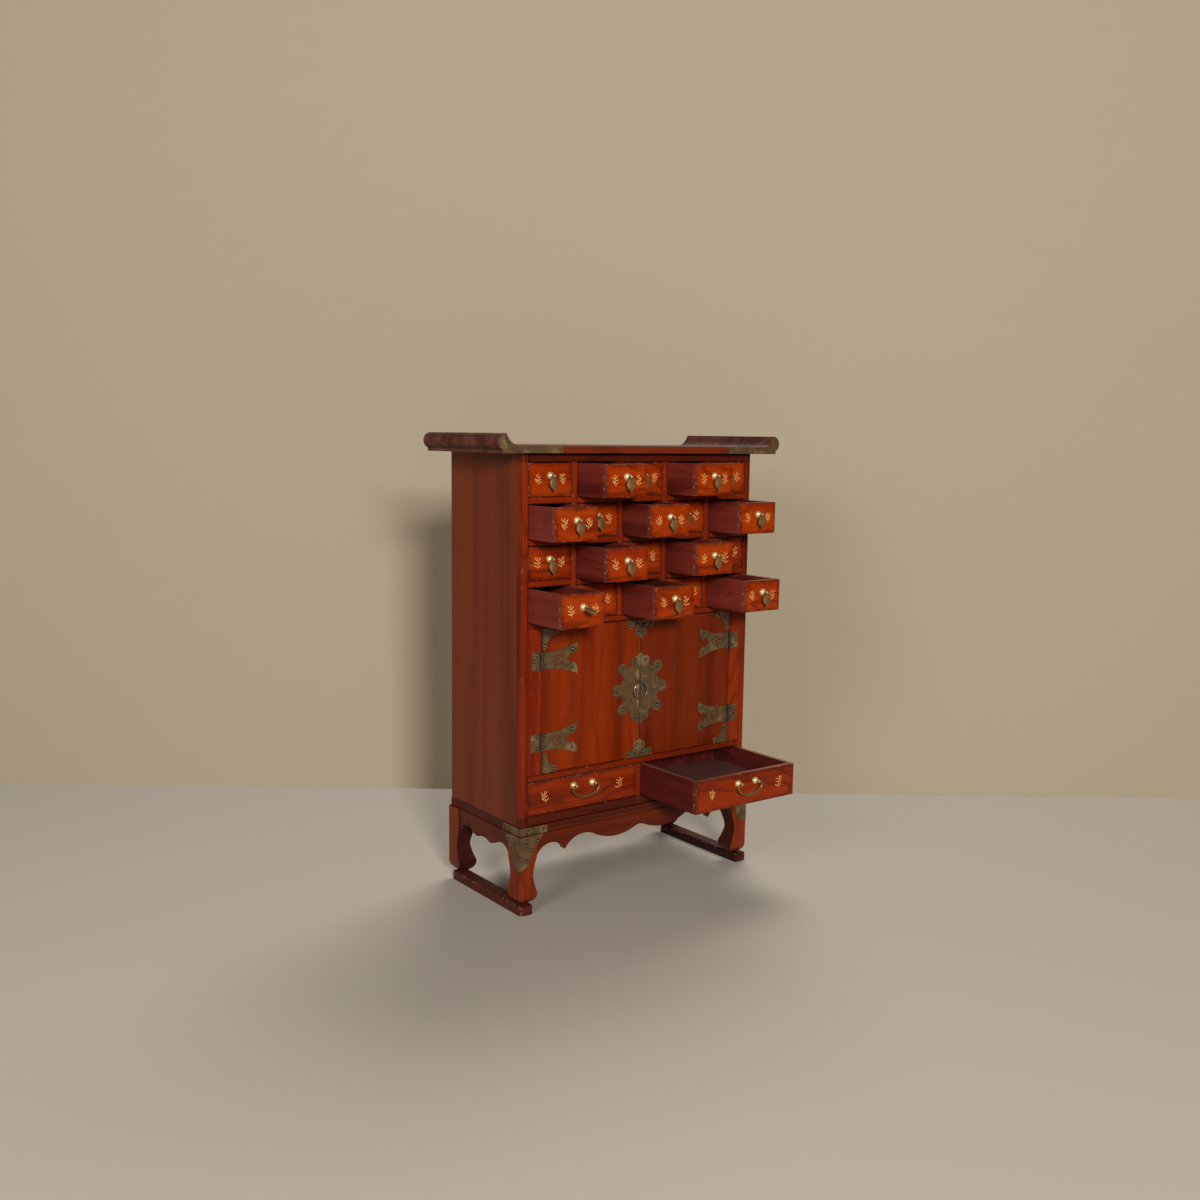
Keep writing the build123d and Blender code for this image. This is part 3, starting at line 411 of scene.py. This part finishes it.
def nail_heads(tree, metals, coords, tint, rough, nail_face, nail_side, disc, step):
    """Dark rims, grime and painted shade on the heads' flanks, and lighter crowns, rubbing and a painted
    highlight, on what stands in front of nail_face or beyond nail_side. A disc that nails stand on is given
    as its height, radius and rise, with the place of the hinges' barrels, which are dark; a step back as the
    height where it starts and its depth."""
    x, y, z = split(tree, coords["Object"])
    normal = [calc(tree, "ABSOLUTE", part) for part in split(tree, coords["Normal"])]
    out = calc(tree, "ABSOLUTE", x)
    if step:
        inset = share(tree, calc(tree, "GREATER_THAN", z, step[0]), step[1])
        out = calc(tree, "ADD", out, inset)
        y = calc(tree, "SUBTRACT", y, inset)
    face = nail_face
    if disc:
        middle, radius, rise, hinge = disc
        rise_square = calc(tree, "POWER", calc(tree, "SUBTRACT", z, middle), 2.0)
        away = calc(tree, "POWER", calc(tree, "ADD", both(tree, x, x), rise_square), 0.5)
        inside = calc(tree, "LESS_THAN", away, radius)
        barrel = near(tree, out, hinge, BARREL_REACH)
        tint = mix(tree, share(tree, barrel, 0.75), tint, tuple(metals.nail_rim))
        lift = calc(tree, "MAXIMUM", barrel, both(tree, near(tree, out, 0.0, SEAM_REACH), inside))
        plate = calc(tree, "MULTIPLY_ADD", inside, -rise, nail_face)
        face = calc(tree, "SUBTRACT", plate, share(tree, lift, 0.02))
    heads = [(ramp(tree, calc(tree, "SUBTRACT", face, y), 0.0, 0.0002), normal[1])]
    if nail_side is not None:
        heads.append((ramp(tree, out, nail_side, nail_side + 0.0002), normal[0]))
    # Each head goes from the rim colour on its flanks, grime and painted shade, to the crown colour where it
    # faces out, rubbing and a painted highlight.
    for proud, facing in heads:
        crown_rub_and_highlight = ramp(tree, facing, 0.90, 0.99)
        tint = mix(tree, proud, tint, mix(tree, crown_rub_and_highlight, tuple(metals.nail_rim), tuple(metals.nail_crown_rub_and_highlight)))
        rough = blend(tree, proud, rough, 0.26)
    return tint, rough


def brass_material(name, metals, kind, metal, rough_low, rough_high, nail_face=None, nail_side=None,
                   disc=None, step=None):
    """Aged brass, with nails where nail_face is given."""
    made, tree, shader, coords = new_material(name)
    clean, darkened = {"plate": (metals.plate, metals.tarnish), "leaf": (metals.leaf, metals.leaf_dark),
                    "ring": (metals.ring, metals.ring_dark)}[kind]
    rub_and_sheen_tone = tuple(metals.plate_rub_and_sheen) if kind == "plate" else None
    tint, age_and_sheen = brass_shades(tree, coords["Object"], tuple(clean), tuple(darkened), rub_and_sheen_tone)
    rough = blend(tree, age_and_sheen["Tarnish"], rough_low, rough_high)
    if nail_face is not None:
        tint, rough = nail_heads(tree, metals, coords, tint, rough, nail_face, nail_side, disc, step)
    tree.links.new(tint, shader.inputs["Base Color"])
    tree.links.new(rough, shader.inputs["Roughness"])
    shader.inputs["Metallic"].default_value = metal
    tree.links.new(bump(tree, age_and_sheen["Tarnish"], 0.15, 0.0002), shader.inputs["Normal"])
    return made


def drawer_material(name, woods, metals, seed, kind):
    """Drawer boards and knobs: fronts with grime and painted shade near their edges, darker boxes, rubbed
    corners, and brass in front of the front.
    """
    made, tree, shader, coords = new_material(name, gloss=0.12)
    low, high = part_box(name)
    half, tall = (high.x - low.x) / 2, high.z - low.z
    shift = (-(low.x + high.x) / 2, -drawer_front(name), -low.z)
    place = stretch(tree, coords["Object"], (1, 1, 1), shift)
    x, y, z = split(tree, place)
    normal = split(tree, coords["Normal"])
    face_place = stretch(tree, place, (1.4, 1, 1))
    face_tint, streak = board_colour(tree, face_place, shades_of(woods, kind), seed, 11.0, 0.55)
    boards = shades_of(woods, "inner" if kind == "front" else "box")
    box_tint, box_streak = board_colour(tree, join(tree, y, z, x), boards, seed + 3.0, 12.0, 0.35)
    at_front = both(tree, ramp(tree, normal[1], -0.2, -0.5), ramp(tree, y, 0.006, 0.004))
    tint = mix(tree, at_front, box_tint, face_tint)
    # Fronts darker near their edges, broken up by a cloud: grime and painted shade.
    from_edge = calc(tree, "MINIMUM", calc(tree, "SUBTRACT", half, calc(tree, "ABSOLUTE", x)),
                     calc(tree, "MINIMUM", z, calc(tree, "SUBTRACT", tall, z)))
    cloud = noise(tree, place, 70.0, 3.0, 0.6)
    edge_grime_and_shade = both(tree, ramp(tree, from_edge, 0.010, 0.0), ramp(tree, cloud, 0.30, 0.62))
    tint = mix(tree, share(tree, both(tree, edge_grime_and_shade, at_front), 0.65), tint, tuple(woods.front_dark))
    upward = ramp(tree, normal[2], 0.8, 0.95)
    at_rim = ramp(tree, z, tall - 0.003, tall - 0.002)
    bottom = both(tree, upward, calc(tree, "SUBTRACT", 1.0, at_rim))
    tint = mix(tree, share(tree, bottom, 0.7), tint, tuple(woods.dust))
    tint = mix(tree, share(tree, both(tree, upward, at_rim), 0.4), tint, tuple(woods.worn))
    on_side = ramp(tree, calc(tree, "ABSOLUTE", normal[0]), 0.8, 0.95)
    corner = both(tree, on_side, ramp(tree, y, 0.0092, 0.0076))
    tint = mix(tree, share(tree, corner, 0.35), tint, tuple(woods.dust))
    for height in (0.27, 0.60):
        pin = both(tree, near(tree, z, height * tall, 0.0016), near(tree, y, 0.0045, 0.0016))
        tint = mix(tree, share(tree, both(tree, pin, on_side), 0.8), tint, tuple(woods.worn))
    worn = use_group(tree, "edge_wear", {"Normal": coords["Normal"], "Vector": coords["Object"],
                                         "Amount": 0.35})
    tint = mix(tree, share(tree, worn["Edge"], 0.5), tint, tuple(woods.grime_and_shade))
    tint = mix(tree, share(tree, worn["Chip"], 0.6), tint, tuple(woods.worn))
    brass, age_and_sheen = brass_shades(tree, coords["Object"], tuple(metals.knob), tuple(metals.knob_dark))
    metal = ramp(tree, y, -0.00002, -0.00008)
    tree.links.new(mix(tree, metal, tint, brass), shader.inputs["Base Color"])
    rough = blend(tree, metal, blend(tree, streak, 0.28, 0.42), blend(tree, age_and_sheen["Tarnish"], 0.34, 0.48))
    tree.links.new(rough, shader.inputs["Roughness"])
    tree.links.new(share(tree, metal, 0.6), shader.inputs["Metallic"])
    depth = both(tree, blend(tree, at_front, box_streak, streak), calc(tree, "SUBTRACT", 1.0, metal))
    tree.links.new(bump(tree, calc(tree, "SUBTRACT", 1.0, depth)), shader.inputs["Normal"])
    return made


def drawer_front(name):
    """Where a drawer's front face is, from its pull's pivot line."""
    joint = JOINTS[name.replace("long_drawer", "bail").replace("drawer", "pendant") + "_swing"]
    return joint["pos_m"][1] + PULL_REACH


def dress(name, made):
    """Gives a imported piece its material."""
    for slot in NODES[name].material_slots:
        slot.link = "OBJECT"
        slot.material = made


# Masks of the frame's, grid's and stand's members
def frame_uprights(tree, vector):
    """The stiles, the strips beside the doors and the post between the long drawers."""
    x, _, z = split(tree, vector)
    out = calc(tree, "ABSOLUTE", x)
    stile = calc(tree, "GREATER_THAN", out, STILE_INNER)
    from_middle = calc(tree, "ABSOLUTE", calc(tree, "SUBTRACT", z, STRIP_MIDDLE))
    strip = both(tree, calc(tree, "GREATER_THAN", out, STRIP_INNER),
                 calc(tree, "LESS_THAN", from_middle, STRIP_HALF))
    post = both(tree, calc(tree, "LESS_THAN", out, POST_HALF), calc(tree, "LESS_THAN", z, POST_TOP))
    return calc(tree, "MAXIMUM", stile, calc(tree, "MAXIMUM", strip, post))


def grid_uprights(tree, vector):
    """The partitions between the small drawers."""
    phase = calc(tree, "FRACT", calc(tree, "DIVIDE", split(tree, vector)[0], GRID_PITCH))
    from_post = calc(tree, "ABSOLUTE", calc(tree, "SUBTRACT", phase, 0.5))
    return calc(tree, "LESS_THAN", from_post, POST_HALF / GRID_PITCH)


def stand_uprights(tree, vector):
    """The stand's legs."""
    x, y, z = split(tree, vector)
    outer = calc(tree, "GREATER_THAN", calc(tree, "ABSOLUTE", x), LEG_INNER)
    from_middle = calc(tree, "ABSOLUTE", calc(tree, "ADD", y, STAND_FORWARD))
    corner = both(tree, outer, calc(tree, "GREATER_THAN", from_middle, LEG_DEEP))
    return both(tree, corner, calc(tree, "LESS_THAN", z, LEG_TOP))


def outer_rails(tree, vector, normal):
    """The frame's top and bottom rails, which get painted shade: under the top's overhang and along the
    bottom rail.
    """
    z = split(tree, vector)[2]
    return calc(tree, "MAXIMUM", calc(tree, "GREATER_THAN", z, TOP_RAIL_LOW),
                calc(tree, "LESS_THAN", z, BOTTOM_RAIL_HIGH))


def stand_grime_and_shade(tree, vector, normal):
    """The stand's inward faces, and a band of painted shade along its waist, darkest at its middle."""
    # Painted shade in a band along the waist, where a cove would be shaded.
    waist_shade = near(tree, split(tree, vector)[2], WAIST_MIDDLE, WAIST_REACH)
    return calc(tree, "MAXIMUM", inward_faces(tree, vector, normal), share(tree, waist_shade, 0.6))


def inward_faces(tree, vector, normal):
    """Faces of the stand that look towards its middle."""
    x, y, _ = split(tree, vector)
    turn = split(tree, normal)
    across = both(tree, calc(tree, "SIGN", x), turn[0])
    deep = both(tree, calc(tree, "SIGN", calc(tree, "ADD", y, STAND_FORWARD)), turn[1])
    return ramp(tree, calc(tree, "MINIMUM", across, deep), -0.35, -0.75)


class CHEST_OT_groups(bpy.types.Operator):
    """Make the shader groups that the woods and metals share"""
    bl_idname = "chest.groups"
    bl_label = "Shared effects"

    def execute(self, context):
        make_grain_group()
        make_wear_group()
        make_brass_group()
        return {"FINISHED"}


class CHEST_OT_carcass(bpy.types.Operator):
    """Dress the carcass, its front frame, the top and the stand"""
    bl_idname = "chest.carcass"
    bl_label = "Carcass woods"

    def execute(self, context):
        woods = context.scene.chest_woods
        pieces = {
            "side_panels": ("side", "Z", 2.0, dict(figure=9.0, line=0.1, run=0.5, deep=0.25)),
            "back_panel": ("side", "Z", 5.0, dict(figure=9.0, line=0.2, run=0.5, deep=0.4)),
            "carcass_boards": ("inner", "X", 7.0, {}),
            # The face frame's top and bottom rails get painted shade.
            "face_frame": ("frame", "X", 9.0, dict(upright=frame_uprights, wear=0.15, lying=0.3,
                                                   shaded=outer_rails, grime_and_shade_share=0.55)),
            "drawer_grid": ("frame", "X", 11.0, dict(upright=grid_uprights)),
            "top_board": ("top", "X", 13.0, dict(figure=9.0, run=0.7, edge="stand", rough=(0.56, 0.68))),
            # The stand gets painted shade along its waist.
            "stand_frame": ("stand", "X", 15.0, dict(upright=stand_uprights, lying=0.55, shaded=stand_grime_and_shade)),
            "stand_runners": ("runner", "Y", 17.0, dict(wear=0.45, shaded=inward_faces)),
        }
        for name, (kind, axis, seed, looks) in pieces.items():
            dress(name, wood_material(name + "_wood", woods, kind, axis, seed, **looks))
        return {"FINISHED"}


class CHEST_OT_doors(bpy.types.Operator):
    """Dress the two cupboard doors"""
    bl_idname = "chest.doors"
    bl_label = "Doors"

    def execute(self, context):
        woods = context.scene.chest_woods
        # The right door takes the darker mate colours, which are painted shade.
        for seed, name, kind in ((21.0, "left_door", "door"), (23.0, "right_door", "mate")):
            dress(name, wood_material(name + "_wood", woods, kind, "Z", seed, figure=10.0, line=0.22,
                                      wear=-1.0, run=0.7, deep=0.4))
        return {"FINISHED"}


class CHEST_OT_drawers(bpy.types.Operator):
    """Dress the drawers, their knobs and posts"""
    bl_idname = "chest.drawers"
    bl_label = "Drawers"

    def execute(self, context):
        woods, metals = context.scene.chest_woods, context.scene.chest_metals
        for count, name in enumerate(SMALL_DRAWERS + LONG_DRAWERS):
            kind = "long" if name in LONG_DRAWERS else "front"
            dress(name, drawer_material(name, woods, metals, 31.0 + 1.37 * count, kind))
        return {"FINISHED"}


class CHEST_OT_brass(bpy.types.Operator):
    """Dress the plates, hinges, pulls and the ring"""
    bl_idname = "chest.brass"
    bl_label = "Brass"

    def execute(self, context):
        metals = context.scene.chest_metals
        low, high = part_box("left_door")
        disc = ((low.z + high.z) / 2, LOCK_RADIUS, LOCK_RISE, HINGE_OUT)
        doors = ("left_door_brasses", "right_door_brasses", "frame_hinge_leaves")
        nails = {name: dict(nail_face=DOOR_NAILS, disc=disc) for name in doors}
        nails["top_end_plates"] = dict(nail_face=TOP_NAILS)
        nails["stand_corner_plates"] = dict(nail_face=CORNER_NAILS, nail_side=SIDE_NAILS,
                                            step=(LEG_TOP, BAND_STEP))
        for name, places in nails.items():
            dress(name, brass_material(name + "_brass", metals, "plate", 0.45, 0.44, 0.60, **places))
        for name in PENDANTS:
            dress(name, brass_material(name + "_brass", metals, "leaf", 0.5, 0.38, 0.52))
        for name in BAILS:
            dress(name, brass_material(name + "_brass", metals, "leaf", 0.6, 0.30, 0.44))
        dress("lock_ring", brass_material("ring_wire", metals, "ring", 0.85, 0.24, 0.36))
        return {"FINISHED"}


def stroke(mesh, spot, size, turn, coat):
    """One brush stroke, a thin oval pad on a drawer's front."""
    place = Matrix.Translation((spot[0], spot[1] - coat / 2, spot[2])) @ Matrix.Rotation(pi / 2, 4, "X")
    matrix = place @ Matrix.Rotation(turn, 4, "Z") @ Matrix.Diagonal((size[0], size[1], coat, 1.0))
    bmesh.ops.create_cone(mesh, cap_ends=True, segments=12, radius1=0.5, radius2=0.46, depth=1.0,
                          matrix=matrix)


def sprig(mesh, middle, tall, brush, coat, dice):
    """A stem with three pairs of rising leaves and a bud, a little different each time."""
    lean = dice.uniform(-0.22, 0.22)

    def up(height, aside=0.0):
        x = middle[0] + tall * (height * sin(lean) + aside)
        return (x, middle[1], middle[2] + tall * height * cos(lean))

    stroke(mesh, up(0.0), (tall * 0.94, 0.75 * brush), pi / 2 - lean, coat)
    for level in (-0.30, -0.06, 0.17):
        for side in (-1, 1):
            length = dice.uniform(0.30, 0.44)
            rise = dice.uniform(0.40, 0.95)
            height = level + dice.uniform(-0.06, 0.06)
            stroke(mesh, up(height + 0.5 * length * sin(rise), side * (0.03 + 0.5 * length * cos(rise))),
                   (tall * length, brush * dice.uniform(0.95, 1.25)), rise if side > 0 else pi - rise,
                   coat * dice.uniform(0.8, 1.2))
    stroke(mesh, up(0.44), (tall * 0.16, 1.4 * brush), pi / 2 - lean, coat * 1.1)


class CHEST_OT_sprigs(bpy.types.Operator):
    """Paint a sprig on each side of every pull"""
    bl_idname = "chest.sprigs"
    bl_label = "Painted sprigs"

    def execute(self, context):
        facts = context.scene.chest_sprigs
        made, tree, shader, coords = new_material("sprig_paint")
        rub = ramp(tree, noise(tree, coords["Object"], 420.0, 3.0, 0.6), 0.42, 0.68)
        tree.links.new(mix(tree, rub, tuple(facts.cream), tuple(facts.amber)), shader.inputs["Base Color"])
        tree.links.new(blend(tree, rub, 0.45, 0.6), shader.inputs["Roughness"])
        for count, name in enumerate(SMALL_DRAWERS + LONG_DRAWERS):
            small = name in SMALL_DRAWERS
            low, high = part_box(name)
            offset = facts.small_offset if small else facts.long_offset
            tall = facts.small_height if small else facts.long_height
            dice = random.Random(100 + count)
            mesh = bmesh.new()
            for side in (-1, 1):
                middle = ((low.x + high.x) / 2 + side * offset, drawer_front(name), (low.z + high.z) / 2)
                sprig(mesh, middle, tall * dice.uniform(0.92, 1.06), facts.brush, facts.coat, dice)
            data = bpy.data.meshes.new("sprigs_" + name)
            mesh.to_mesh(data)
            mesh.free()
            data.materials.append(made)
            piece = bpy.data.objects.new("sprigs_" + name, data)
            context.collection.objects.link(piece)
            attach(piece, name)
        return {"FINISHED"}


class CHEST_OT_stage(bpy.types.Operator):
    """Set up the floor, lamps and camera"""
    bl_idname = "chest.stage"
    bl_label = "Studio"

    def execute(self, context):
        facts = context.scene.chest_stage
        scene = context.scene
        scene.view_settings.view_transform = "Standard"
        paper = self.paper("studio_floor_paper", tuple(facts.floor))[0]
        self.sheet(scene, "studio_floor", 14.0, Matrix.Identity(4), paper)
        paper, tree, shader = self.paper("studio_wall_paper", tuple(facts.wall))
        self.show_from_front(tree, shader)
        ahead = Vector((sin(facts.yaw), cos(facts.yaw), 0.0))
        spot = Vector(facts.eye) + facts.wall_away * ahead
        upright = Matrix.Rotation(-facts.yaw, 4, "Z") @ Matrix.Rotation(pi / 2, 4, "X")
        self.sheet(scene, "studio_wall", 9.0, Matrix.Translation(spot) @ upright, paper)
        sky = bpy.data.worlds.new("studio_sky")
        sky.use_nodes = True
        back = sky.node_tree.nodes["Background"]
        back.inputs["Color"].default_value = (*facts.wall, 1.0)
        back.inputs["Strength"].default_value = facts.sky
        scene.world = sky
        target = Vector((0.0, -0.05, 0.40))
        # Name, level, width, distance, turn to the left and rise in degrees
        lamps = (("key_lamp", facts.key, 0.9, 5.6, 24.0, 18.0),
                 ("side_lamp", facts.side, 1.2, 4.0, 66.0, 22.0),
                 ("rear_lamp", facts.rear, 2.5, 5.0, -130.0, 55.0))
        for name, level, size, away, turn, rise in lamps:
            light = bpy.data.lights.new(name, "AREA")
            light.energy = level * (pi * away) ** 2
            light.size = size
            lamp = bpy.data.objects.new(name, light)
            turn, rise = radians(turn), radians(rise)
            way = Vector((-sin(turn) * cos(rise), -cos(turn) * cos(rise), sin(rise)))
            lamp.location = target + away * way
            lamp.rotation_euler = way.to_track_quat("Z", "Y").to_euler()
            scene.collection.objects.link(lamp)
        self.add_camera(scene, facts)
        return {"FINISHED"}

    def paper(self, name, tone):
        """Plain matt paper, a little cloudy."""
        made, tree, shader, coords = new_material(name, gloss=0.2)
        cloud = noise(tree, coords["Object"], 1.4, 2.0)
        darker = tuple(0.97 * part for part in tone)
        tree.links.new(mix(tree, cloud, darker, tone), shader.inputs["Base Color"])
        shader.inputs["Roughness"].default_value = 0.7
        return made, tree, shader

    def show_from_front(self, tree, shader):
        """Lets the paper be seen from its front only, and lets the lamps' light through."""
        rays = add(tree, "ShaderNodeLightPath").outputs
        bounced = calc(tree, "MAXIMUM", rays["Is Glossy Ray"], rays["Is Transmission Ray"])
        seen = calc(tree, "MAXIMUM", rays["Is Camera Ray"], bounced)
        behind = add(tree, "ShaderNodeNewGeometry").outputs["Backfacing"]
        shown = calc(tree, "MULTIPLY", seen, calc(tree, "SUBTRACT", 1.0, behind))
        clear = add(tree, "ShaderNodeBsdfTransparent").outputs[0]
        joined = add(tree, "ShaderNodeMixShader", {0: shown, 1: clear, 2: shader.outputs[0]}).outputs[0]
        end = next(node for node in tree.nodes if node.type == "OUTPUT_MATERIAL")
        tree.links.new(joined, end.inputs[0])

    def sheet(self, scene, name, size, matrix, paper):
        """A flat sheet of the studio, which isn't part of the chest."""
        mesh = bmesh.new()
        bmesh.ops.create_grid(mesh, x_segments=1, y_segments=1, size=size, matrix=matrix)
        data = bpy.data.meshes.new(name)
        mesh.to_mesh(data)
        mesh.free()
        data.materials.append(paper)
        made = bpy.data.objects.new(name, data)
        scene.collection.objects.link(made)

    def add_camera(self, scene, facts):
        """Camera at the photo's angle."""
        right = Vector((cos(facts.yaw), -sin(facts.yaw), 0.0))
        level = cos(facts.pitch)
        ahead = Vector((sin(facts.yaw) * level, cos(facts.yaw) * level, -sin(facts.pitch)))
        above = right.cross(ahead)
        across = right * cos(facts.roll) + above * sin(facts.roll)
        upward = above * cos(facts.roll) - right * sin(facts.roll)
        turn = Matrix((across, upward, -ahead)).transposed().to_4x4()
        data = bpy.data.cameras.new("photo_camera")
        data.sensor_width = 36.0
        data.sensor_fit = "HORIZONTAL"
        data.lens = facts.lens
        camera = bpy.data.objects.new("photo_camera", data)
        camera.matrix_world = Matrix.Translation(Vector(facts.eye)) @ turn
        scene.collection.objects.link(camera)
        scene.camera = camera


class CHEST_PT_panel(bpy.types.Panel):
    """Lists the steps that dress the chest"""
    bl_idname = "CHEST_PT_panel"
    bl_label = "Apothecary chest"
    bl_space_type = "VIEW_3D"
    bl_region_type = "UI"
    bl_category = "Chest"

    def draw(self, context):
        for step in STEPS:
            self.layout.operator(step.bl_idname)


STEPS = (CHEST_OT_stage, CHEST_OT_groups, CHEST_OT_carcass, CHEST_OT_doors, CHEST_OT_drawers, CHEST_OT_brass,
         CHEST_OT_sprigs)
GROUPS = (("chest_woods", ChestWoods), ("chest_metals", ChestMetals), ("chest_sprigs", ChestSprigs),
          ("chest_stage", ChestStage))


def register():
    for name, kind in GROUPS:
        bpy.utils.register_class(kind)
        setattr(bpy.types.Scene, name, bpy.props.PointerProperty(type=kind))
    for kind in (*STEPS, CHEST_PT_panel):
        bpy.utils.register_class(kind)


def unregister():
    for kind in reversed((*STEPS, CHEST_PT_panel)):
        bpy.utils.unregister_class(kind)
    for name, kind in reversed(GROUPS):
        delattr(bpy.types.Scene, name)
        bpy.utils.unregister_class(kind)


def main():
    register()
    for step in STEPS:
        family, action = step.bl_idname.split(".")
        getattr(getattr(bpy.ops, family), action)()


if __name__ == "__main__":
    main()
